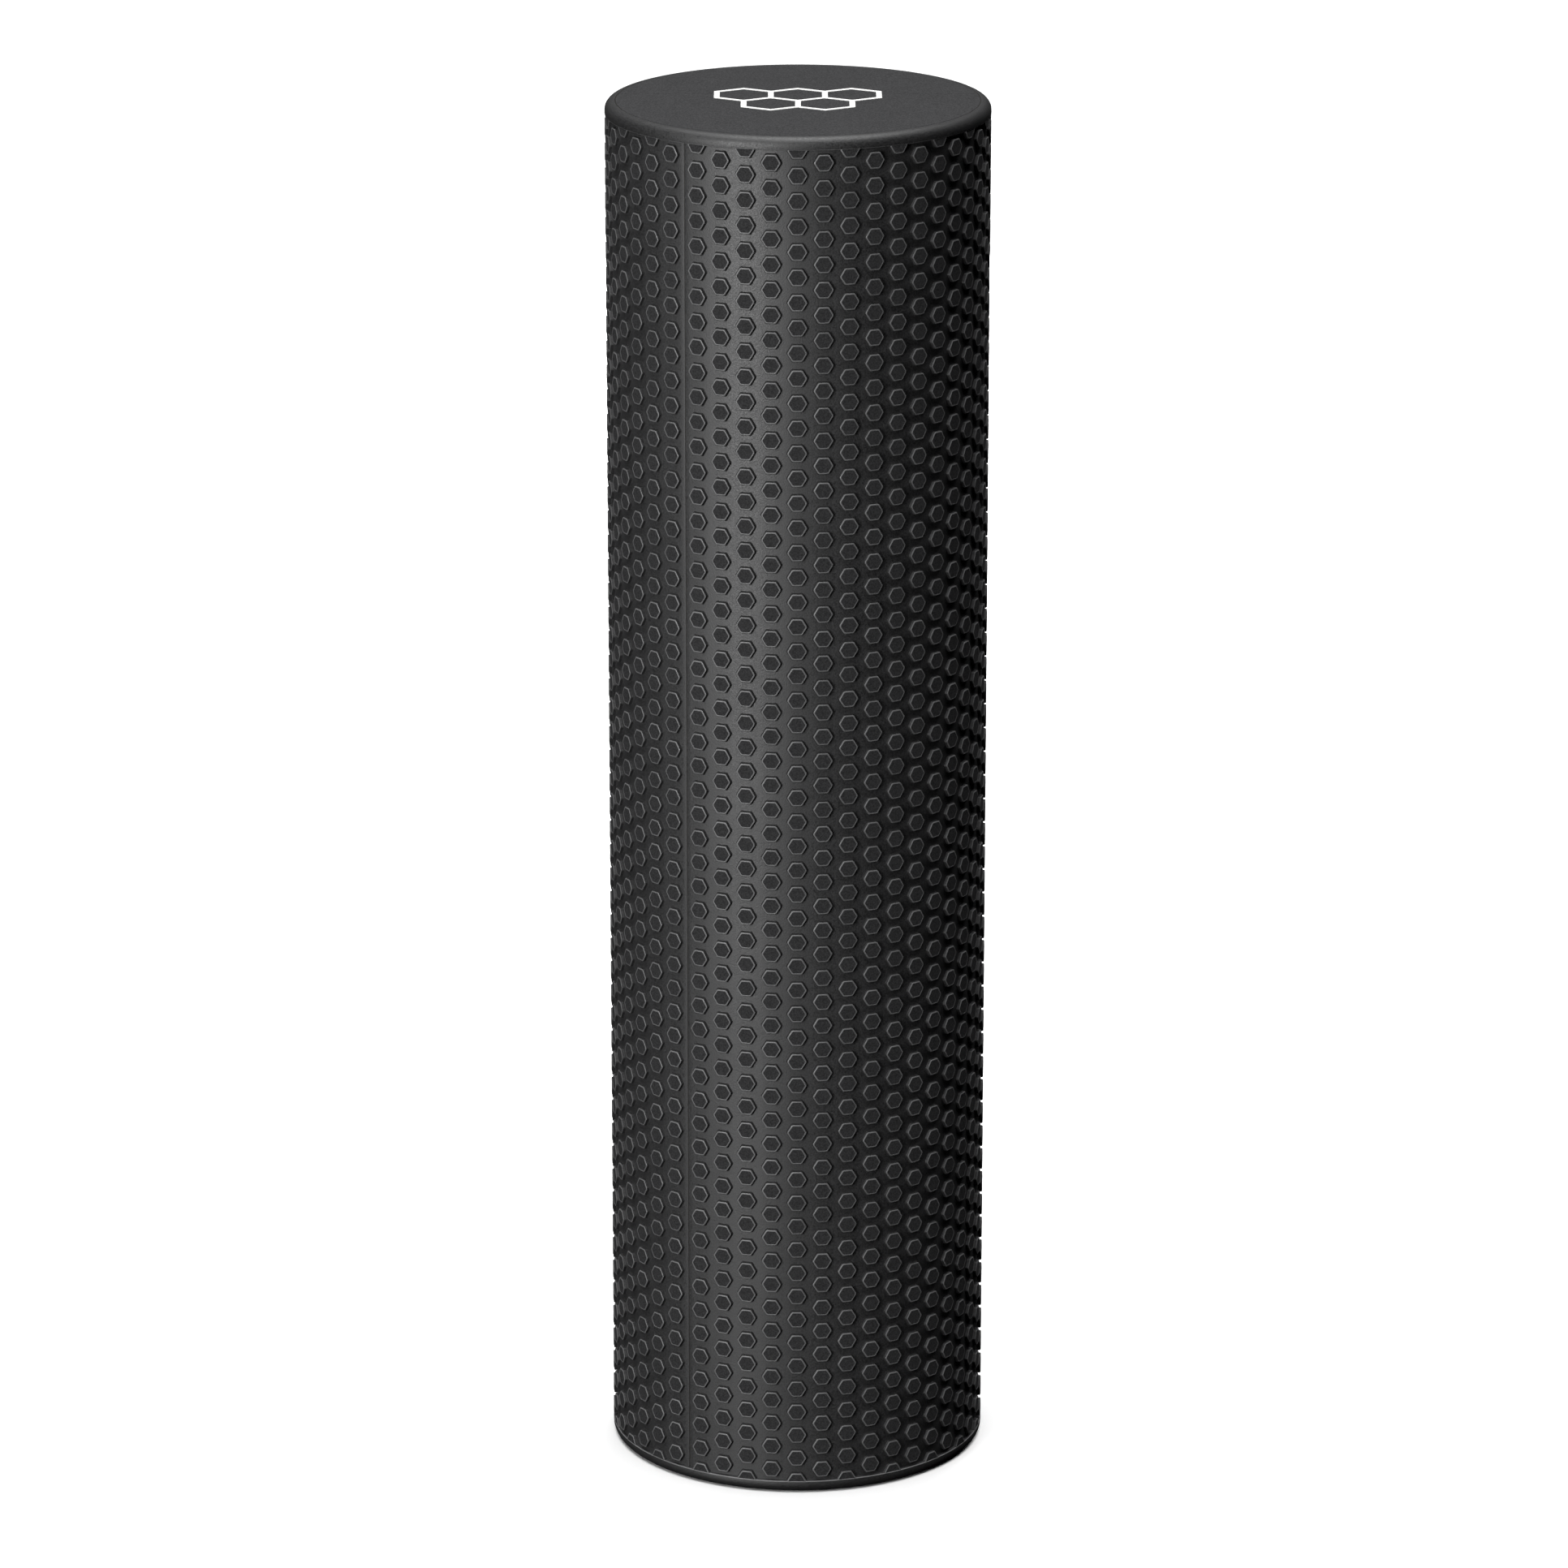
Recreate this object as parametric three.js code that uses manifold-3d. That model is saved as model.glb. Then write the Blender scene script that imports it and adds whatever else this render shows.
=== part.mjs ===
// A solid foam massage roller: a core laminated from two blocks of closed-cell EVA foam, wrapped in two
// moulded half skins that meet along two straight seams, with a printed honeycomb mark on one end.
// Units are millimetres, +Z runs along the roller, and the origin is the middle of the end it stands on.
// The skins are modelled at their full outer size, which is the height of the massage studs.

import * as THREE from "three";
import { mergeVertices } from "three/addons/utils/BufferGeometryUtils.js";
import Module from "manifold-3d";

// Driving dimensions
const ROLLER_DIAMETER = 150;
const ROLLER_LENGTH = 550;
const SKIN_THICKNESS = 4;
const SHOULDER_RADIUS = 3.5; // the rounded edge of each end
const LAMINATION_Y = 12; // the glue plane of the core lies this far behind the axis
const SEAM_TURN = THREE.MathUtils.degToRad(36); // the front seam, turned from the front towards -X
const GLUE_GAP = 0.4; // space that a bond line takes between two foam pieces
const GLUE_FILM = 0.24; // dried contact adhesive in that space
const GLUE_INSET = 0.15; // adhesive stops this far inside every visible edge
const SEAM_BOND_END = 5.5; // and this far from each end in the seams, where the skin has no studs
const RELIEF_DEPTH = 1.4; // how far the ground between the studs lies below their tops
const ROUND_STEPS = 120; // facets round the roller
const SHOULDER_STEPS = 5;
const MARK_CELL = 21; // across flats of one honeycomb cell of the printed mark
const MARK_LINE = 2.2; // width of the printed line
const MARK_FILM = 0.15; // thickness of the transfer print

// Derived sizes
const outerRadius = ROLLER_DIAMETER / 2;
const skinInner = outerRadius - SKIN_THICKNESS;
const coreRadius = skinInner - GLUE_GAP;

// Materials
const foam = (color, roughness) => new THREE.MeshStandardMaterial({ color, roughness, metalness: 0 });
const skinFoam = foam(0x2b2b2c, 0.62);
const coreFoam = foam(0x3d3d3e, 0.75);
const adhesive = foam(0x8a7f66, 0.4);
const printInk = foam(0xf2f2f0, 0.5);

const wasm = await Module();
wasm.setup();

// A closed three.js geometry as a solid that can be joined and cut.
function solidFrom(geometry) {
  const bare = geometry.clone();
  bare.deleteAttribute("normal");
  bare.deleteAttribute("uv");
  const merged = mergeVertices(bare, 1e-4);
  return new wasm.Manifold(
    new wasm.Mesh({
      numProp: 3,
      vertProperties: merged.attributes.position.array,
      triVerts: new Uint32Array(merged.index.array),
    }),
  );
}

// A solid back as a three.js geometry.
function geometryFrom(solid) {
  const { numProp, vertProperties, triVerts } = solid.getMesh();
  const geometry = new THREE.BufferGeometry();
  const points = new THREE.InterleavedBuffer(vertProperties, numProp);
  geometry.setAttribute("position", new THREE.InterleavedBufferAttribute(points, 3, 0));
  geometry.setIndex(new THREE.BufferAttribute(triVerts, 1));
  const plain = geometry.toNonIndexed();
  plain.computeVertexNormals();
  return plain;
}

// A ring or shell of revolution about Z, from [radius, height] points that close on themselves.
function turned(points) {
  const profile = [...points, points[0]].map(([r, z]) => new THREE.Vector2(r, z));
  return new THREE.LatheGeometry(profile, ROUND_STEPS).rotateX(Math.PI / 2);
}

// A block whose lowest corner and size are given.
function block(corner, size) {
  const middle = corner.map((low, k) => low + size[k] / 2);
  return new THREE.BoxGeometry(...size).translate(...middle);
}

// A straight prism of a flat outline, standing on z = low.
function prism(shape, low, height) {
  const settings = { depth: height, bevelEnabled: false, curveSegments: ROUND_STEPS };
  return new THREE.ExtrudeGeometry(shape, settings).translate(0, 0, low);
}

// Core: each block is the part of the round bar on one side of the glue plane.
function coreBlock(side) {
  const chordY = LAMINATION_Y + (side * GLUE_GAP) / 2;
  const chordAngle = Math.asin(chordY / coreRadius);
  const shape = new THREE.Shape();
  if (side > 0) shape.absarc(0, 0, coreRadius, chordAngle, Math.PI - chordAngle, false);
  else shape.absarc(0, 0, coreRadius, Math.PI - chordAngle, 2 * Math.PI + chordAngle, false);
  shape.closePath();
  return prism(shape, 0, ROLLER_LENGTH);
}

// The film of adhesive between the two core blocks.
function coreBond() {
  const halfChord = Math.sqrt(coreRadius ** 2 - (LAMINATION_Y + GLUE_GAP) ** 2) - GLUE_INSET;
  const corner = [-halfChord, LAMINATION_Y - GLUE_FILM / 2, GLUE_INSET];
  return block(corner, [2 * halfChord, GLUE_FILM, ROLLER_LENGTH - 2 * GLUE_INSET]);
}

// Outline of the skin: straight inside, and outside a cylinder with a rounded shoulder at each end.
function skinProfile() {
  const centreRadius = outerRadius - SHOULDER_RADIUS;
  const low = [];
  const high = [];
  for (let k = 0; k <= SHOULDER_STEPS; k++) {
    const turn = ((Math.PI / 2) * k) / SHOULDER_STEPS;
    const reach = centreRadius + SHOULDER_RADIUS * Math.sin(turn);
    const rise = SHOULDER_RADIUS * (1 - Math.cos(turn));
    low.push([reach, rise]);
    high.unshift([reach, ROLLER_LENGTH - rise]);
  }
  return [[skinInner, 0], ...low, ...high, [skinInner, ROLLER_LENGTH]];
}

// One half of something round: what is left after the other half and the seam gap are cut away.
// side is 1 for the half to the right of the front seam, and -1 for the half to its left.
function halfOf(round, side) {
  const reach = ROLLER_DIAMETER;
  const low = side > 0 ? -reach : -GLUE_GAP / 2;
  const away = block([low, -reach, -reach], [reach + GLUE_GAP / 2, 2 * reach, ROLLER_LENGTH + 2 * reach]);
  away.rotateZ(-SEAM_TURN);
  return geometryFrom(solidFrom(round).subtract(solidFrom(away)));
}

// The film of adhesive between one half skin and the core.
function skinBond(side) {
  const inner = coreRadius + (GLUE_GAP - GLUE_FILM) / 2;
  const outer = inner + GLUE_FILM;
  const top = ROLLER_LENGTH - GLUE_INSET;
  return halfOf(turned([[inner, GLUE_INSET], [outer, GLUE_INSET], [outer, top], [inner, top]]), side);
}

// The strip of adhesive where the two half skins meet: side -1 is the front seam and 1 the rear one.
function seamBond(side) {
  const near = skinInner + GLUE_INSET;
  const far = outerRadius - RELIEF_DEPTH - GLUE_INSET;
  const low = side > 0 ? near : -far;
  const strip = block(
    [-GLUE_FILM / 2, low, SEAM_BOND_END],
    [GLUE_FILM, far - near, ROLLER_LENGTH - 2 * SEAM_BOND_END],
  );
  return strip.rotateZ(-SEAM_TURN);
}

// One upright hexagonal prism of the printed mark; across is its size across flats.
function cell(x, y, across, low, height) {
  const corner = across / Math.sqrt(3);
  const shape = new THREE.Shape();
  for (let k = 0; k < 6; k++) {
    const turn = Math.PI / 6 + (k * Math.PI) / 3;
    const point = [x + corner * Math.cos(turn), y + corner * Math.sin(turn)];
    if (k === 0) shape.moveTo(...point);
    else shape.lineTo(...point);
  }
  shape.closePath();
  return solidFrom(prism(shape, low, height));
}

// The printed mark: the outlines of five honeycomb cells, three over two, as one thin film.
function endMark() {
  const rowRise = (MARK_CELL * Math.sqrt(3)) / 2;
  const centres = [];
  for (const column of [-1, 0, 1]) centres.push([column * MARK_CELL, rowRise / 2]);
  for (const column of [-0.5, 0.5]) centres.push([column * MARK_CELL, -rowRise / 2]);
  let film = null;
  for (const [x, y] of centres) {
    const whole = cell(x, y, MARK_CELL + MARK_LINE, ROLLER_LENGTH, MARK_FILM);
    film = film ? film.add(whole) : whole;
  }
  for (const [x, y] of centres) {
    film = film.subtract(cell(x, y, MARK_CELL - MARK_LINE, ROLLER_LENGTH - 1, MARK_FILM + 2));
  }
  return geometryFrom(film);
}

// Assembly
const roller = new THREE.Group();
function add(name, geometry, material) {
  const mesh = new THREE.Mesh(geometry, material);
  mesh.name = name;
  roller.add(mesh);
}

add("core_front_block", coreBlock(-1), coreFoam);
add("core_rear_block", coreBlock(1), coreFoam);
add("core_bond", coreBond(), adhesive);
add("skin_right_half", halfOf(turned(skinProfile()), 1), skinFoam);
add("skin_left_half", halfOf(turned(skinProfile()), -1), skinFoam);
add("skin_bond_right", skinBond(1), adhesive);
add("skin_bond_left", skinBond(-1), adhesive);
add("seam_bond_front", seamBond(-1), adhesive);
add("seam_bond_rear", seamBond(1), adhesive);
add("end_mark", endMark(), printInk);

export default roller;
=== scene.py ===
# %% [markdown]
# # A studded foam massage roller
# The roller is a solid bar of closed-cell EVA foam. Two half skins, moulded with rows of low hexagonal
# studs, are glued round a core made of two blocks. The CAD holds every piece at its true size, and this
# lesson gives the foam pieces their moulded shape and all pieces their finish.
# Everything is in metres, +Z runs along the roller and the front is -Y.

# %% Load the frame
from math import asin, cos, pi, radians, sin

import bmesh
import bpy
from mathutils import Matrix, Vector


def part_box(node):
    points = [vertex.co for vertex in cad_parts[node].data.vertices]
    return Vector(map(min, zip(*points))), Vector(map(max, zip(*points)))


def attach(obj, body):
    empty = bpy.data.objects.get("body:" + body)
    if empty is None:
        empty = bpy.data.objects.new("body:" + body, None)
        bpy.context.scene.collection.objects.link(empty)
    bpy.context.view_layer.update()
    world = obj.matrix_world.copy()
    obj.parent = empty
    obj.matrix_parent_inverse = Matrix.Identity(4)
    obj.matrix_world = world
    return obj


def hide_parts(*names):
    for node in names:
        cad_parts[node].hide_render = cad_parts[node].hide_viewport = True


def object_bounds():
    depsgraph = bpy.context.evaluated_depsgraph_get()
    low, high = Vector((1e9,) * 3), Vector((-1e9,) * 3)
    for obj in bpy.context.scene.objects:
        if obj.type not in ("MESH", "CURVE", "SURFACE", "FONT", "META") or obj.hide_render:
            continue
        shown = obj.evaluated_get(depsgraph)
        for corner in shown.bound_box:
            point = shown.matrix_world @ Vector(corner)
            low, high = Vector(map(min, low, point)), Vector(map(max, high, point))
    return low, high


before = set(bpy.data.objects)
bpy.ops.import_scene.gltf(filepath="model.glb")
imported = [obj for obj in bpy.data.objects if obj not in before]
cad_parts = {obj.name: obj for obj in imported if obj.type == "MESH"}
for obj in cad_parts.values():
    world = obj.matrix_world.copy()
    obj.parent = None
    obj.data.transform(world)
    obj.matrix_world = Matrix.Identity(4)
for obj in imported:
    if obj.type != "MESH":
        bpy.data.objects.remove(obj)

cad_low, cad_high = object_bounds()
print("CAD box:", [round(v, 4) for v in (*cad_low, *cad_high)])

# %% [markdown]
# ## Sizes
# The outer sizes are read from the CAD, so the visual pieces can't drift away from it. The moulding
# sizes belong to this script, because the CAD skins are smooth.
# An angle round the roller is counted from the front towards +X, so the front seam is negative.

# %% Sizes of the roller and of its moulded skin
MM = 0.001
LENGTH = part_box("skin_right_half")[1].z
OUTER = cad_high.y  # radius over the stud tops
SKIN = 4.06 * MM  # thickness of a half skin, studs included
SKIN_INNER = OUTER - SKIN
GLUE_LINE = 0.3 * MM  # width of a bond between two pieces of foam
CORE = SKIN_INNER - GLUE_LINE  # radius of the core
SHOULDER = 3.5 * MM  # rounding of the two ends
RELIEF = 1.4 * MM  # height of a stud over the ground
GROUND = OUTER - RELIEF
END_BAND = 5.0 * MM  # plain end of the skin, shoulder included
EASE = 0.15 * MM  # rounding of the cut edges of the foam
EDGE_STEPS = 3  # faces across a small rounding
SHARP = radians(38)  # an edge that turns by more than this is drawn sharp

SEAM = radians(-36)  # the front seam; the rear one is opposite
COLUMNS = 23  # columns of studs on each half skin
ROWS = 55  # stud pitches along the roller
COLUMN_STEP = radians(7.75)
SEAM_STEP = pi - (COLUMNS - 1) * COLUMN_STEP  # the wider step from column to column over a seam
FIELD = LENGTH - 2 * END_BAND
ROW_PITCH = FIELD / ROWS
print(f"stud pitch {ROW_PITCH / MM:.2f} mm, columns {COLUMN_STEP * OUTER / MM:.2f} mm apart")

# %% [markdown]
# ## Helpers for node trees
# Shader colours are linear, but people pick colours in sRGB, so one function converts them. A second
# one adds a node, sets its properties and fills its inputs from values or from other sockets. The rest
# are short names for the nodes that come up most.

# %% Helpers for colours and nodes
MIX_SHARE, MIX_FIRST, MIX_SECOND, MIX_RESULT = 0, 6, 7, 2  # a Mix node's sockets when it mixes colours
NOISE_LOW = 0.3  # nearly all of a noise lies between this
NOISE_HIGH = 0.7  # and this


def linear(colour):
    """An sRGB hex colour as linear RGBA."""
    channels = [int(colour[k : k + 2], 16) / 255 for k in (1, 3, 5)]
    return [c / 12.92 if c <= 0.04045 else ((c + 0.055) / 1.055) ** 2.4 for c in channels] + [1.0]


def add_node(tree, kind, inputs=None, **settings):
    """A new node with these properties, its inputs given as values or as sockets to link from."""
    made = tree.nodes.new(kind)
    for name, value in settings.items():
        setattr(made, name, value)
    for key, value in (inputs or {}).items():
        if isinstance(value, bpy.types.NodeSocket):
            tree.links.new(value, made.inputs[key])
        else:
            made.inputs[key].default_value = value
    return made


def compute(tree, operation, *values):
    """The result of a Math node on these numbers or sockets."""
    return add_node(tree, "ShaderNodeMath", dict(enumerate(values)), operation=operation).outputs[0]


def blend(tree, share, first, second):
    """A colour that goes from the first to the second as share goes from 0 to 1."""
    inputs = {MIX_SHARE: share, MIX_FIRST: first, MIX_SECOND: second}
    return add_node(tree, "ShaderNodeMix", inputs, data_type="RGBA").outputs[MIX_RESULT]


def spread(tree, noise, low, high):
    """A noise stretched to go from low to high."""
    reach = {"From Min": NOISE_LOW, "From Max": NOISE_HIGH, "To Min": low, "To Max": high}
    return add_node(tree, "ShaderNodeMapRange", {"Value": noise, **reach}).outputs[0]


def per(size_mm):
    """The scale that makes a texture on Object coordinates repeat about once in this many millimetres."""
    return 1000 / size_mm


def new_material(name):
    """An empty material: its tree and its Principled shader, ready for patterns."""
    material = bpy.data.materials.new(name)
    material.use_nodes = True
    tree = material.node_tree
    tree.nodes.clear()
    shader = add_node(tree, "ShaderNodeBsdfPrincipled")
    add_node(tree, "ShaderNodeOutputMaterial", {"Surface": shader.outputs[0]})
    return material, tree, shader


# %% [markdown]
# ## The moulded foam
# EVA foam pressed in a hot mould gets a closed skin: charcoal, with a soft sheen, and finely grained by
# the cells under it. Cells are about 0.3 mm, too fine to show, so they are drawn at 0.5 mm.
# The mould's air marks make the tone wander over a centimetre or two. Three values that the mesh
# carries say where the finish changes: `rim` is the bead round a stud, painted paler as a painted
# highlight; `top` darkens what it covers, a painted shade that damps the light on the rounded ends; and
# `foot` is the strip where a stud stands, painted near black as painted shade in the crease. The rounded
# ends have half of `top`. The flat tops of the studs have all of it, and there the skin has lost its
# sheen, so they wear the matt finish of the next cell instead.

# %% EVA foam, hot-pressed skin
def pressed_foam():
    """Charcoal EVA foam with a moulded skin."""
    material, tree, shader = new_material("EVA foam, hot-pressed skin")
    place = add_node(tree, "ShaderNodeTexCoord").outputs["Object"]
    mottle = add_node(tree, "ShaderNodeTexNoise", {"Vector": place, "Scale": per(16), "Detail": 3.0})
    grain = add_node(tree, "ShaderNodeTexNoise", {"Vector": place, "Scale": per(0.5), "Detail": 2.0})
    rim = add_node(tree, "ShaderNodeAttribute", attribute_name="rim")
    top = add_node(tree, "ShaderNodeAttribute", attribute_name="top")
    foot = add_node(tree, "ShaderNodeAttribute", attribute_name="foot")

    tone = blend(tree, mottle.outputs[0], linear("#222223"), linear("#303031"))
    grained = spread(tree, grain.outputs[0], 0.4, 1.6)
    # `top` darkens the colour: painted shade, which shows on the rounded ends and damps the light there.
    top_painted_shade = add_node(
        tree,
        "ShaderNodeMapRange",
        {"Value": top.outputs["Fac"], "To Min": 1.0, "To Max": 0.4},
    )
    shade = compute(tree, "MULTIPLY", grained, top_painted_shade.outputs[0])
    body = add_node(
        tree, "ShaderNodeVectorMath", {0: tone, "Scale": shade}, operation="SCALE"
    )
    # The bead round each stud and the edge of the plain band are mixed towards pale grey: a painted
    # highlight, stronger where the mottle is high.
    highlight_spread = spread(tree, mottle.outputs[0], 0.45, 0.85)
    rim_highlight = compute(tree, "MULTIPLY", rim.outputs["Fac"], highlight_spread)
    with_painted_highlight = blend(tree, rim_highlight, body.outputs[0], linear("#7e7e7f"))
    # The strip round each stud's foot is mixed towards near black: painted shade in the crease.
    colour = blend(tree, foot.outputs["Fac"], with_painted_highlight, linear("#0a0a0a"))
    skin_rough = spread(tree, grain.outputs[0], 0.43, 0.69)
    rough = compute(tree, "MULTIPLY_ADD", foot.outputs["Fac"], 0.4, skin_rough)
    bumps = add_node(tree, "ShaderNodeBump", {"Height": grain.outputs[0], "Distance": 0.08 * MM})
    tree.links.new(colour, shader.inputs["Base Color"])
    tree.links.new(rough, shader.inputs["Roughness"])
    tree.links.new(bumps.outputs[0], shader.inputs["Normal"])
    shader.inputs["IOR"].default_value = 1.45
    shader.inputs["Specular IOR Level"].default_value = 0.78
    return material


PRESSED_FOAM = pressed_foam()
print("made", PRESSED_FOAM.name)

# %% [markdown]
# ## The cut foam of the core
# The core's ends are sliced and sanded, so their cells are open. They are matt, with tiny pits, and show
# no sheen. Pits of 0.4 mm are drawn at 0.9 mm so that they show. The tops of the studs wear it too.

# %% EVA foam, sliced and sanded
def cut_foam():
    """Charcoal EVA foam with open cells, as a slicing blade leaves it."""
    material, tree, shader = new_material("EVA foam, sliced and sanded")
    place = add_node(tree, "ShaderNodeTexCoord").outputs["Object"]
    cells = add_node(tree, "ShaderNodeTexVoronoi", {"Vector": place, "Scale": per(0.9)})
    cloud = add_node(tree, "ShaderNodeTexNoise", {"Vector": place, "Scale": per(22), "Detail": 4.0})
    speck = add_node(tree, "ShaderNodeTexNoise", {"Vector": place, "Scale": per(0.6), "Detail": 2.0})

    tone = blend(tree, cloud.outputs[0], linear("#323233"), linear("#39393a"))
    flecks = spread(tree, speck.outputs[0], 0.55, 1.45)
    colour = add_node(
        tree, "ShaderNodeVectorMath", {0: tone, "Scale": flecks}, operation="SCALE"
    )
    rough = add_node(
        tree, "ShaderNodeMapRange", {"Value": cloud.outputs[0], "To Min": 0.78, "To Max": 0.92}
    )
    pits = add_node(tree, "ShaderNodeBump", {"Height": cells.outputs["Distance"], "Distance": 0.03 * MM})
    tree.links.new(colour.outputs[0], shader.inputs["Base Color"])
    tree.links.new(rough.outputs[0], shader.inputs["Roughness"])
    tree.links.new(pits.outputs[0], shader.inputs["Normal"])
    shader.inputs["IOR"].default_value = 1.45
    shader.inputs["Specular IOR Level"].default_value = 0.2
    return material


CUT_FOAM = cut_foam()
print("made", CUT_FOAM.name)

# %% [markdown]
# ## Adhesive and print
# Contact adhesive dries to a rubbery film, brown and uneven where the brush left it. The print is a
# white film pressed on hot: matt, and thinned where it bridges the foam's pits.

# %% Contact adhesive, brushed on
def brushed_adhesive():
    """Dried contact adhesive."""
    material, tree, shader = new_material("Contact adhesive, brushed on")
    place = add_node(tree, "ShaderNodeTexCoord").outputs["Object"]
    strokes = add_node(tree, "ShaderNodeTexNoise", {"Vector": place, "Scale": per(3), "Detail": 4.0})
    tone = blend(tree, strokes.outputs[0], linear("#1b1a18"), linear("#33312c"))
    rough = add_node(
        tree, "ShaderNodeMapRange", {"Value": strokes.outputs[0], "To Min": 0.35, "To Max": 0.65}
    )
    lumps = add_node(tree, "ShaderNodeBump", {"Height": strokes.outputs[0], "Distance": 0.08 * MM})
    tree.links.new(tone, shader.inputs["Base Color"])
    tree.links.new(rough.outputs[0], shader.inputs["Roughness"])
    tree.links.new(lumps.outputs[0], shader.inputs["Normal"])
    return material


ADHESIVE = brushed_adhesive()
print("made", ADHESIVE.name)


# %% White transfer print, pressed on hot
def transfer_print():
    """A white transfer film that follows the grain of the foam under it."""
    material, tree, shader = new_material("Transfer film, heat-pressed white")
    place = add_node(tree, "ShaderNodeTexCoord").outputs["Object"]
    grain = add_node(tree, "ShaderNodeTexNoise", {"Vector": place, "Scale": per(0.8), "Detail": 2.0})
    thin = add_node(
        tree,
        "ShaderNodeMapRange",
        {"Value": grain.outputs[0], "From Min": 0.3, "From Max": 0.45, "To Min": 0.0, "To Max": 1.0},
    )
    colour = blend(tree, thin.outputs[0], linear("#c9c9c8"), linear("#f6f6f4"))
    rough = add_node(tree, "ShaderNodeMapRange", {"Value": grain.outputs[0], "To Min": 0.45, "To Max": 0.6})
    bumps = add_node(tree, "ShaderNodeBump", {"Height": grain.outputs[0], "Distance": 0.03 * MM})
    tree.links.new(colour, shader.inputs["Base Color"])
    tree.links.new(rough.outputs[0], shader.inputs["Roughness"])
    tree.links.new(bumps.outputs[0], shader.inputs["Normal"])
    return material


PRINT = transfer_print()
print("made", PRINT.name)

# %% [markdown]
# ## One stud
# A stud is a low hexagon with its corners pointing round the roller. It is drawn flat, as it is cut into
# the mould: X runs round the roller, Y along it and Z out of it. Rings of twelve points, two at each
# corner, go from the foot up the wall, over a fine bead and down to a top that is slightly dished. The
# bead catches the light round every stud, and the foam adds a painted highlight on it. A stud repeats
# over two thousand times, so it has only 50 faces. Each face stores what it is, for the foam's finish.

# %% The stud
STUD_CORNERS = 8.0 * MM  # round the roller
STUD_FLATS = 6.6 * MM  # along the roller
CORNER_CUT = 0.3 * MM  # how far back a corner's two points lie on its edges
# In the foam's finish the strip tagged foot is painted shade, and the two tagged rim are a painted
# highlight.
STUD_RINGS = [  # (distance in from the wall's foot, height, what the strip above is), in mm
    (-0.35, 0.0, "foot"),
    (0.0, 0.06, None),
    (0.08, 1.2, "rim"),
    (0.3, 1.4, "rim"),
    (0.6, 1.3, None),
]


def hexagon_ring(inset, height):
    """Twelve points of a hexagon that is smaller by inset on every side."""
    reach = STUD_CORNERS / 2 - inset / cos(pi / 6)
    rise = (STUD_FLATS / 2 - inset) / cos(pi / 6)
    ring = []
    for corner in range(6):
        turn = corner * pi / 3
        for side in (-1, 1):
            along = turn + side * 2 * pi / 3
            x = reach * cos(turn) + CORNER_CUT * cos(along)
            y = rise * sin(turn) + CORNER_CUT * sin(along)
            ring.append((x, y, height))
    return ring


STUD_TOP = 1.0  # the value of `top` on a stud
# On the rounded ends this value darkens the skin: painted shade that damps the light there.
SHOULDER_TOP = 0.5  # and on the rounded ends


def finish_layers(bm):
    """The three values that the foam's finish reads, on every corner of every face."""
    return {name: bm.loops.layers.float.new(name) for name in ("rim", "top", "foot")}


def make_stud():
    """The flat-drawn stud as an object that the skins repeat."""
    bm = bmesh.new()
    layers = finish_layers(bm)
    grid = []
    for inset, height, _ in STUD_RINGS:
        grid.append([bm.verts.new(point) for point in hexagon_ring(inset * MM, height * MM)])
    for (_, _, part), lower, upper in zip(STUD_RINGS, grid, grid[1:]):
        for k in range(len(lower)):
            after = (k + 1) % len(lower)
            face = bm.faces.new((lower[k], lower[after], upper[after], upper[k]))
            face.smooth = part == "rim"
            for loop in face.loops if part else ():
                loop[layers[part]] = 1.0
    bm.faces.new(reversed(grid[0]))
    for loop in bm.faces.new(grid[-1]).loops:
        loop[layers["top"]] = STUD_TOP
    mesh = bpy.data.meshes.new("stud")
    bm.to_mesh(mesh)
    bm.free()
    stud = bpy.data.objects.new("stud", mesh)
    bpy.context.scene.collection.objects.link(stud)
    return stud


STUD = make_stud()
print("stud faces:", len(STUD.data.polygons))

# %% [markdown]
# ## The field of studs
# Studs repeat by a rule, so Geometry Nodes lay them out. A rule is simplest on a flat sheet, so first the
# studs are set out flat, in columns that are moved on by half a pitch in turn, and then the sheet is
# wrapped round the roller. A stud that hangs over the end of the field is squeezed into the plain end
# band, which leaves half a stud showing there.

# %% Geometry Nodes: lay out the studs and wrap them
SQUEEZE = 0.35  # the hidden half of an end stud keeps this much of its length
SINK = 0.04  # and dips this much for each unit beyond the field
SLACK = MM  # far less than half a stud pitch


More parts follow.
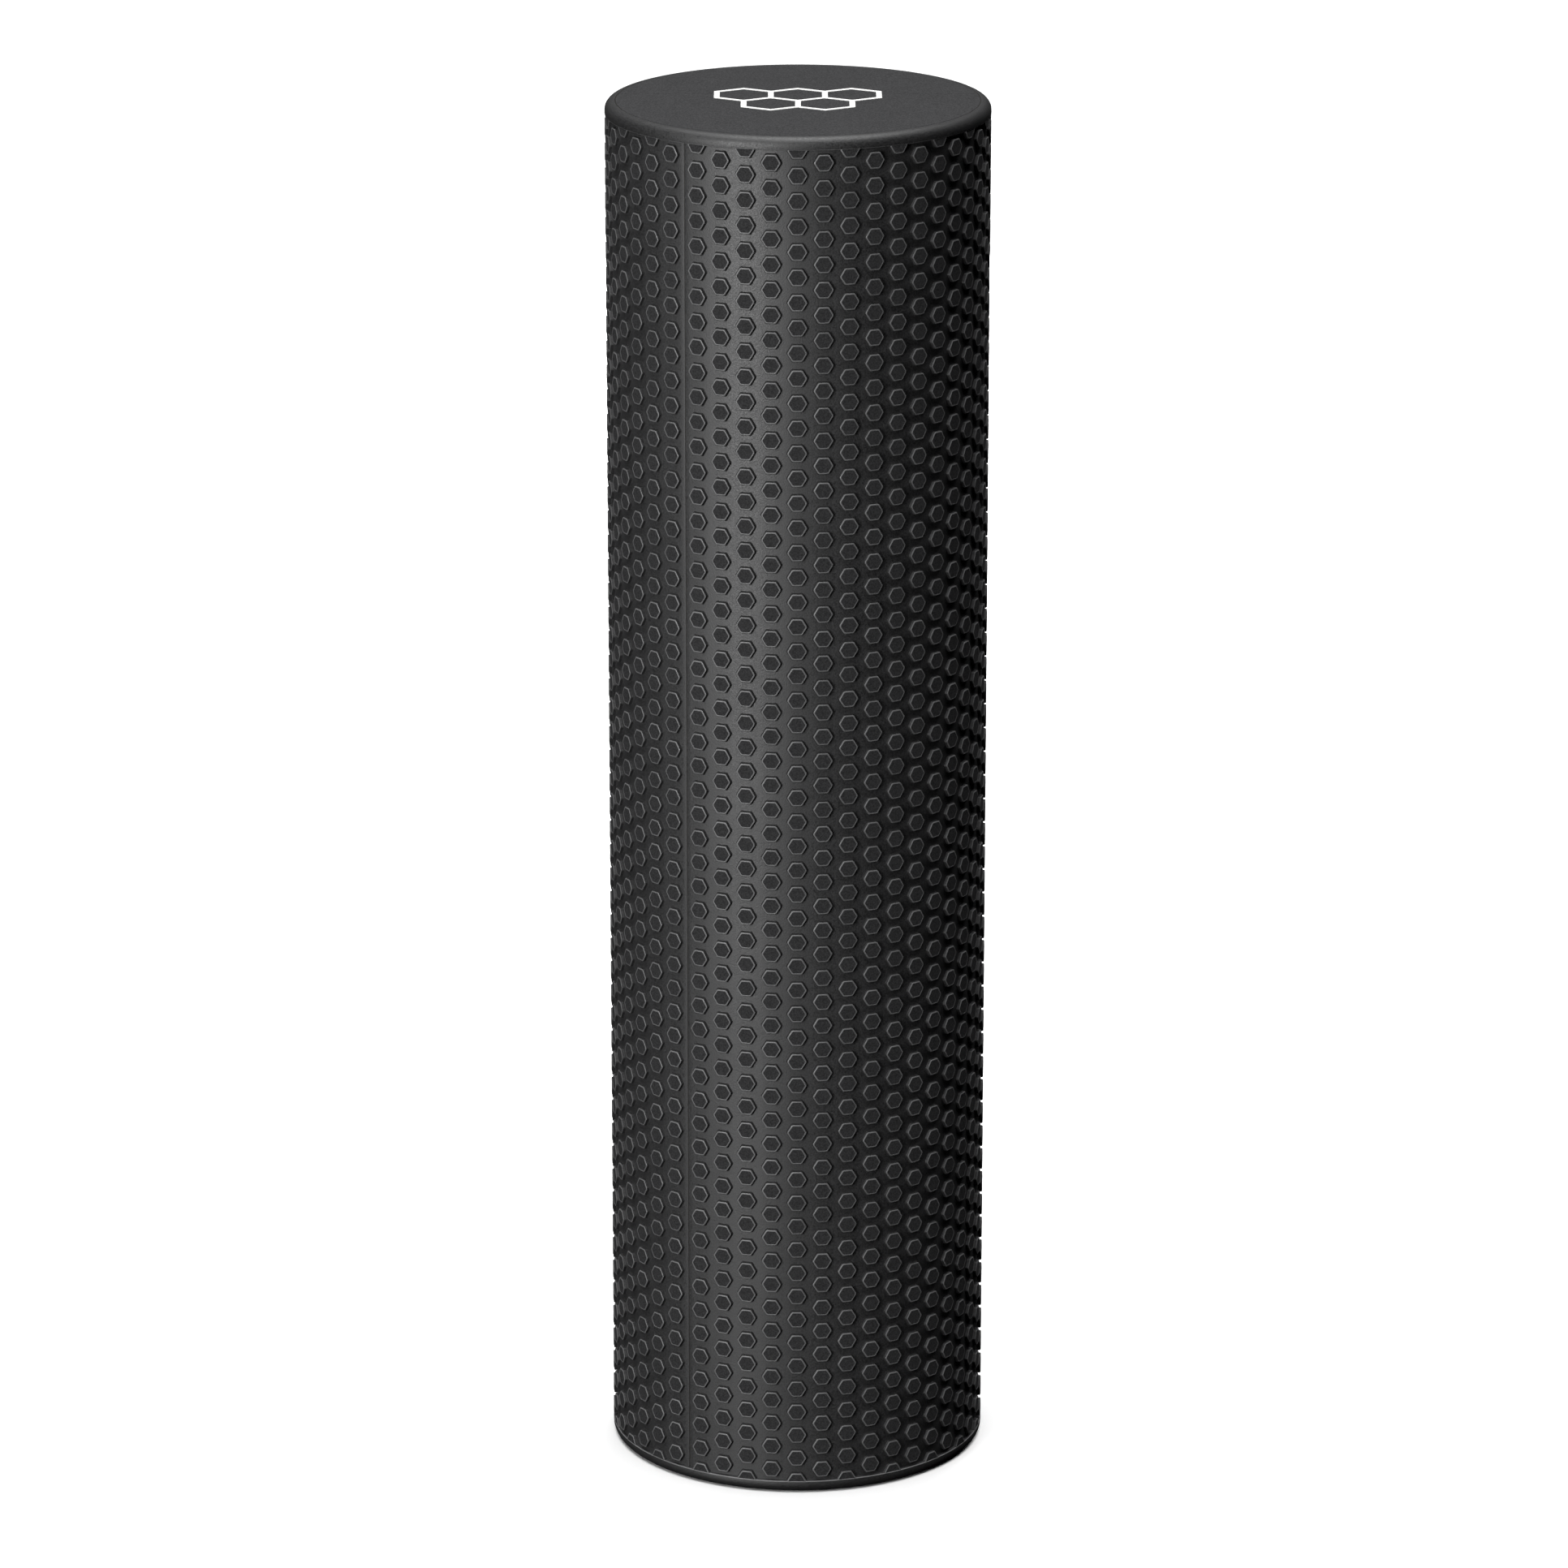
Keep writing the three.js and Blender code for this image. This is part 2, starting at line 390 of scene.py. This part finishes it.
def stud_field_tree():
    """Joins a field of wrapped studs to the shell that the modifier is on."""
    tree = bpy.data.node_groups.new("stud field", "GeometryNodeTree")
    sockets = {
        "Geometry": "NodeSocketGeometry",
        "Stud": "NodeSocketObject",
        "Material": "NodeSocketMaterial",
        "Columns": "NodeSocketInt",
        "Rows": "NodeSocketInt",
        "First Shift": "NodeSocketInt",
        "First Column": "NodeSocketFloat",
        "Column Step": "NodeSocketFloat",
        "Row Pitch": "NodeSocketFloat",
        "Field Start": "NodeSocketFloat",
        "Ground Radius": "NodeSocketFloat",
        "Top Radius": "NodeSocketFloat",
    }
    for name, kind in sockets.items():
        tree.interface.new_socket(name, in_out="INPUT", socket_type=kind)
    tree.interface.new_socket("Geometry", in_out="OUTPUT", socket_type="NodeSocketGeometry")
    given = add_node(tree, "NodeGroupInput").outputs

    # Which column and row a point is in
    per_column = compute(tree, "ADD", given["Rows"], 1.0)
    count = compute(tree, "MULTIPLY", per_column, given["Columns"])
    index = add_node(tree, "GeometryNodeInputIndex").outputs[0]
    share = compute(tree, "DIVIDE", index, per_column)
    column = compute(tree, "FLOOR", share)
    row = compute(tree, "MODULO", index, per_column)
    turn = compute(tree, "ADD", column, given["First Shift"])
    shifted = compute(tree, "MODULO", turn, 2.0)

    # Its place on the flat sheet
    step = compute(tree, "MULTIPLY_ADD", column, given["Column Step"], given["First Column"])
    across = compute(tree, "MULTIPLY", step, given["Top Radius"])
    steps = compute(tree, "MULTIPLY_ADD", shifted, 0.5, row)
    along = compute(tree, "MULTIPLY", steps, given["Row Pitch"])
    flat = add_node(tree, "ShaderNodeCombineXYZ", {0: across, 1: along}).outputs[0]
    line = add_node(tree, "GeometryNodeMeshLine", {"Count": count}).outputs[0]
    points = add_node(tree, "GeometryNodeSetPosition", {"Geometry": line, "Position": flat}).outputs[0]

    # A shifted column has one stud fewer; the slack keeps rounding from dropping any other
    place = add_node(tree, "GeometryNodeInputPosition").outputs[0]
    apart = add_node(tree, "ShaderNodeSeparateXYZ", {0: place}).outputs
    length = compute(tree, "MULTIPLY", given["Rows"], given["Row Pitch"])
    limit = compute(tree, "ADD", length, SLACK)
    outside = compute(tree, "GREATER_THAN", apart[1], limit)
    kept = add_node(
        tree, "GeometryNodeDeleteGeometry", {"Geometry": points, "Selection": outside}, domain="POINT"
    ).outputs[0]

    # Studs on the sheet
    stud = add_node(tree, "GeometryNodeObjectInfo", {"Object": given["Stud"]}).outputs["Geometry"]
    copies = add_node(tree, "GeometryNodeInstanceOnPoints", {"Points": kept, "Instance": stud}).outputs[0]
    sheet = add_node(tree, "GeometryNodeRealizeInstances", {"Geometry": copies}).outputs[0]

    # The sheet wrapped round the roller
    inside = add_node(
        tree, "ShaderNodeClamp", {"Value": apart[1], "Min": 0.0, "Max": length}
    ).outputs[0]
    beyond = compute(tree, "SUBTRACT", apart[1], inside)
    squeezed = compute(tree, "MULTIPLY_ADD", beyond, SQUEEZE, inside)
    height = compute(tree, "ADD", squeezed, given["Field Start"])
    overhang = compute(tree, "ABSOLUTE", beyond)
    raised = compute(tree, "MULTIPLY_ADD", overhang, -SINK, apart[2])
    radius = compute(tree, "ADD", raised, given["Ground Radius"])
    angle = compute(tree, "DIVIDE", apart[0], given["Top Radius"])
    sine = compute(tree, "SINE", angle)
    cosine = compute(tree, "COSINE", angle)
    side = compute(tree, "MULTIPLY", sine, radius)
    back = compute(tree, "MULTIPLY", cosine, radius)
    front = compute(tree, "MULTIPLY", back, -1.0)
    wrapped = add_node(tree, "ShaderNodeCombineXYZ", {0: side, 1: front, 2: height}).outputs[0]
    studs = add_node(
        tree, "GeometryNodeSetPosition", {"Geometry": sheet, "Position": wrapped}
    ).outputs[0]

    # Shell and studs as one moulding
    whole = add_node(tree, "GeometryNodeJoinGeometry")
    tree.links.new(studs, whole.inputs[0])
    tree.links.new(given["Geometry"], whole.inputs[0])
    plain = add_node(tree, "GeometryNodeRealizeInstances", {"Geometry": whole.outputs[0]}).outputs[0]
    coated = add_node(
        tree, "GeometryNodeSetMaterial", {"Geometry": plain, "Material": given["Material"]}
    ).outputs[0]
    add_node(tree, "NodeGroupOutput", {0: coated})
    return tree


STUD_FIELD = stud_field_tree()
print("stud field nodes:", len(STUD_FIELD.nodes))

# %% [markdown]
# ## The shell of a half skin
# Under its studs a half skin is one profile swept half way round: a rounded shoulder, a plain band, a
# step down to the ground, and the same again at the other end. Beside the seams the ground dips over
# a small lip, so the joint reads as a fine line. No line shows on the plain ends, so the two halves
# close up to a hairline there.

# %% The swept shell
SWEEP_STEPS = 120
SHOULDER_STEPS = 9
BAND_EDGE = 0.3 * MM  # rounding where the plain band steps down to the ground
HAIRLINE = 0.01 * MM  # half of what is left of the seam at the plain ends
BACK_SIDE = 1e-9  # an angle that keeps the last station on the far seam's side


def quarter_round(size, steps):
    """Points of a quarter round, as (distance in from the wall, distance down from the top)."""
    turns = [k * pi / 2 / steps for k in range(steps + 1)]
    return [(size * (1 - cos(t)), size * (1 - sin(t))) for t in turns]


def skin_outline():
    """The skin's closed profile as (radius, height, what the strip up to the next point is)."""
    lower = [(SKIN_INNER, EASE, None), (SKIN_INNER + EASE, 0.0, None)]
    for k in range(SHOULDER_STEPS + 1):
        turn = k * pi / 2 / SHOULDER_STEPS
        reach = OUTER - SHOULDER + SHOULDER * sin(turn)
        lower.append((reach, SHOULDER * (1 - cos(turn)), "top"))
    for inward, down in reversed(quarter_round(BAND_EDGE, EDGE_STEPS)):
        lower.append((OUTER - down, END_BAND - inward, "rim"))
    lower[-1] = (*lower[-1][:2], None)
    lower.append((GROUND, END_BAND + EASE, None))
    upper = []
    for k, (radius, height, _) in enumerate(reversed(lower)):
        part = lower[-2 - k][2] if k < len(lower) - 1 else None
        upper.append((radius, LENGTH - height, part))
    return lower + upper


def shell_point(radius, height, angle, into, drop):
    """A point of the shell; into is its way from the nearer seam, and drop the dip of its lip."""
    outside = radius > SKIN_INNER + EASE
    plain_end = outside and not END_BAND < height < LENGTH - END_BAND
    if plain_end:
        fade = max(0.0, 1 - abs(into) * OUTER / EASE)
        angle -= (GLUE_LINE / 2 - HAIRLINE) / OUTER * fade * (1 if into >= 0 else -1)
    elif outside:
        radius -= drop
    return (radius * sin(angle), -radius * cos(angle), height)


def half_shell(name, start):
    """A closed half shell that starts at this angle and sweeps 180 degrees, less the seam gaps."""
    gap = GLUE_LINE / 2 / OUTER
    sweep = pi - 2 * gap
    lip = [(inward / OUTER, drop) for inward, drop in quarter_round(EASE, EDGE_STEPS)]
    first = lip[-1][0]
    middle = [(first + (sweep - 2 * first) * k / SWEEP_STEPS, 0.0) for k in range(1, SWEEP_STEPS)]
    stations = lip + middle + [(sweep - turn, drop) for turn, drop in reversed(lip)]
    outline = skin_outline()
    bm = bmesh.new()
    layers = finish_layers(bm)
    grid = []
    for turn, drop in stations:
        into = turn if turn < pi / 2 else turn - sweep - BACK_SIDE
        points = [shell_point(r, z, start + gap + turn, into, drop) for r, z, _ in outline]
        grid.append([bm.verts.new(point) for point in points])
    for here, there in zip(grid, grid[1:]):
        for k, (_, _, part) in enumerate(outline):
            after = (k + 1) % len(outline)
            face = bm.faces.new((here[k], there[k], there[after], here[after]))
            # Edges of the plain bands get the painted highlight of `rim`, and the shoulders the painted
            # shade of `top`.
            for loop in face.loops if part else ():
                loop[layers[part]] = 1.0 if part == "rim" else SHOULDER_TOP
    # The plain ends lean to the hairline, so the face along the glue is made apart from them and stays flat
    half = len(outline) // 2
    for ring in (grid[0], grid[-1]):
        bm.faces.new(ring[:half])
        bm.faces.new((ring[0], ring[half - 1], ring[half], ring[-1]))
        bm.faces.new(ring[half:])
    for face in bm.faces:
        face.smooth = True
    bmesh.ops.recalc_face_normals(bm, faces=bm.faces)
    mesh = bpy.data.meshes.new(name)
    bm.to_mesh(mesh)
    bm.free()
    mesh.set_sharp_from_angle(angle=SHARP)
    shell = bpy.data.objects.new(name, mesh)
    bpy.context.scene.collection.objects.link(shell)
    return shell


def add_studs(shell, start, first_shift):
    """Runs the stud field on a shell and keeps the result as its plain mesh."""
    values = {
        "Stud": STUD,
        "Material": PRESSED_FOAM,
        "Columns": COLUMNS,
        "Rows": ROWS,
        "First Shift": first_shift,
        "First Column": start + SEAM_STEP / 2,
        "Column Step": COLUMN_STEP,
        "Row Pitch": ROW_PITCH,
        "Field Start": END_BAND,
        "Ground Radius": GROUND,
        "Top Radius": OUTER,
    }
    modifier = shell.modifiers.new("stud field", "NODES")
    modifier.node_group = STUD_FIELD
    for socket in STUD_FIELD.interface.items_tree:
        if socket.in_out == "INPUT" and socket.name in values:
            modifier[socket.identifier] = values[socket.name]
    graph = bpy.context.evaluated_depsgraph_get()
    whole = bpy.data.meshes.new_from_object(
        shell.evaluated_get(graph), preserve_all_data_layers=True, depsgraph=graph
    )
    shell.modifiers.remove(modifier)
    shell.data = whole
    # The studs bring material slots of their own, so the slots are set afresh before a face picks one
    finishes = [PRESSED_FOAM, CUT_FOAM]
    whole.materials.clear()
    for finish in finishes:
        whole.materials.append(finish)
    tops = whole.attributes["top"].data
    for face in whole.polygons:
        finish = CUT_FOAM if tops[face.loop_start].value == STUD_TOP else PRESSED_FOAM
        face.material_index = finishes.index(finish)


# %% Make the two half skins
SKINS = {"skin_right": (SEAM, 0, "skin_right_half"), "skin_left": (SEAM + pi, 1, "skin_left_half")}
for name, (start, first_shift, cad_node) in SKINS.items():
    skin = half_shell(name, start)
    add_studs(skin, start, first_shift)
    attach(skin, "root")
    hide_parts(cad_node)
    used = [face.material_index for face in skin.data.polygons]
    print(name, "faces by finish:", {m.name: used.count(k) for k, m in enumerate(skin.data.materials)})
bpy.data.objects.remove(STUD)

# %% [markdown]
# ## The core
# The core is two blocks sliced from foam board, glued and turned round. Each is a segment of a circle
# along the whole roller. Cut foam never keeps a sharp edge, so every edge at the two ends is eased; it is
# this easing that shows the glue line as a faint line across the end.

# %% The core blocks
ARC_STEPS = 90


def segment(radius, chord, side):
    """The outline of the part of a circle that lies beyond (side 1) or before (side -1) y = chord."""
    first = asin(chord / radius)
    sweep = pi - 2 * first if side > 0 else pi + 2 * first
    start = first if side > 0 else pi - first
    turns = [start + sweep * k / ARC_STEPS for k in range(ARC_STEPS + 1)]
    return [(radius * cos(turn), radius * sin(turn)) for turn in turns]


def core_block(name, chord, side):
    """A core block with its end edges eased."""
    rings = []
    for down, inward in quarter_round(EASE, EDGE_STEPS):
        outline = segment(CORE - inward, chord + side * inward, side)
        rings.append([(x, y, down) for x, y in outline])
    rings += [[(x, y, LENGTH - z) for x, y, z in ring] for ring in reversed(rings)]
    bm = bmesh.new()
    grid = [[bm.verts.new(point) for point in ring] for ring in rings]
    for lower, upper in zip(grid, grid[1:]):
        for k in range(len(lower)):
            after = (k + 1) % len(lower)
            bm.faces.new((lower[k], lower[after], upper[after], upper[k]))
    bm.faces.new(reversed(grid[0]))
    bm.faces.new(grid[-1])
    for face in bm.faces:
        face.smooth = True
    bmesh.ops.recalc_face_normals(bm, faces=bm.faces)
    mesh = bpy.data.meshes.new(name)
    bm.to_mesh(mesh)
    bm.free()
    mesh.set_sharp_from_angle(angle=SHARP)
    mesh.materials.append(CUT_FOAM)
    block = bpy.data.objects.new(name, mesh)
    bpy.context.scene.collection.objects.link(block)
    return block


GLUE_PLANE = (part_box("core_front_block")[1].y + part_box("core_rear_block")[0].y) / 2
CORES = {
    "core_front": (GLUE_PLANE - GLUE_LINE / 2, -1, "core_front_block"),
    "core_rear": (GLUE_PLANE + GLUE_LINE / 2, 1, "core_rear_block"),
}
for name, (chord, side, cad_node) in CORES.items():
    block = core_block(name, chord, side)
    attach(block, "root")
    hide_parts(cad_node)
    print(name, "faces:", len(block.data.polygons))

# %% [markdown]
# ## Pieces that keep their CAD shape
# The adhesive films and the print are already right in the CAD. They only need their finish.

# %% Finish the adhesive and the print
FINISHES = {
    "core_bond": ADHESIVE,
    "skin_bond_right": ADHESIVE,
    "skin_bond_left": ADHESIVE,
    "seam_bond_front": ADHESIVE,
    "seam_bond_rear": ADHESIVE,
    "end_mark": PRINT,
}
for name, material in FINISHES.items():
    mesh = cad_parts[name].data
    mesh.materials.clear()
    mesh.materials.append(material)
print("finished", ", ".join(FINISHES))

# %% [markdown]
# ## The studio
# A plain white floor, a soft light overhead for the end face and the floor, and a tall soft light at the
# front left that draws the bright stripe down the foam. That light's sheen is stronger than its even
# light, so a second one at the same place adds sheen only. A third one lights the far side. It
# has no sheen, which would draw a white line down the edge, and stays lower than the end face.
# The floor is hidden from bounced light, so the foam stays as dark on its shaded side as it should.

# %% Floor and lights
def make_floor():
    """A white floor far larger than the view."""
    half = 12.0
    corners = [(-half, -half, 0), (half, -half, 0), (half, half, 0), (-half, half, 0)]
    mesh = bpy.data.meshes.new("floor")
    mesh.from_pydata(corners, [], [(0, 1, 2, 3)])
    material, _, shader = new_material("White studio floor")
    shader.inputs["Base Color"].default_value = linear("#f4f4f4")
    shader.inputs["Roughness"].default_value = 0.9
    shader.inputs["Specular IOR Level"].default_value = 0.1
    mesh.materials.append(material)
    floor = bpy.data.objects.new("floor", mesh)
    bpy.context.scene.collection.objects.link(floor)
    floor.visible_diffuse = False
    floor.visible_glossy = False


def overhead_light(power):
    """An even, very soft light from straight above, as from a lit ceiling."""
    data = bpy.data.lights.new("ceiling", "SUN")
    data.energy = power
    data.angle = radians(60)
    bpy.context.scene.collection.objects.link(bpy.data.objects.new("ceiling", data))


def soft_light(name, azimuth, elevation, distance, size, power, diffuse=True, sheen=True):
    """A rectangular light that faces the middle of the roller and can leave out its sheen or all else."""
    data = bpy.data.lights.new(name, "AREA")
    data.shape = "RECTANGLE"
    data.size, data.size_y = size
    data.energy = power
    light = bpy.data.objects.new(name, data)
    turn, rise = radians(azimuth), radians(elevation)
    light.location = (
        distance * cos(rise) * sin(turn),
        -distance * cos(rise) * cos(turn),
        LENGTH / 2 + distance * sin(rise),
    )
    light.rotation_euler = (pi / 2 - rise, 0, turn)
    light.visible_diffuse = diffuse
    light.visible_glossy = sheen
    bpy.context.scene.collection.objects.link(light)


make_floor()
overhead_light(power=4.7)
KEY_PLACE = {"azimuth": -33, "elevation": 4, "distance": 1.8, "size": (0.6, 1.7)}
soft_light("key", **KEY_PLACE, power=23)
soft_light("key sheen", **KEY_PLACE, power=42, diffuse=False)
soft_light("far side", azimuth=165, elevation=0, distance=2.2, size=(1.2, 0.5), power=70, sheen=False)
world = bpy.data.worlds.new("studio")
world.use_nodes = True
world.node_tree.nodes["Background"].inputs["Color"].default_value = linear("#ffffff")
world.node_tree.nodes["Background"].inputs["Strength"].default_value = 0.0
bpy.context.scene.world = world
bpy.context.scene.view_settings.view_transform = "Standard"

# %% [markdown]
# ## The camera
# It looks down on the roller a little, from far off, so the sides stay almost parallel and the end shows
# as a thin ellipse.

# %% Camera
DISTANCE = 2.821
ELEVATION = radians(16.64)
AIM = (-0.0054, 0.0, 0.2732)
camera = bpy.data.objects.new("camera", bpy.data.cameras.new("camera"))
camera.data.sensor_width = 36
camera.data.lens = 162.5
camera.location = (AIM[0], AIM[1] - DISTANCE * cos(ELEVATION), AIM[2] + DISTANCE * sin(ELEVATION))
camera.rotation_euler = (pi / 2 - ELEVATION, 0, 0)
bpy.context.scene.collection.objects.link(camera)
bpy.context.scene.camera = camera
print("camera", [round(v, 3) for v in camera.location])
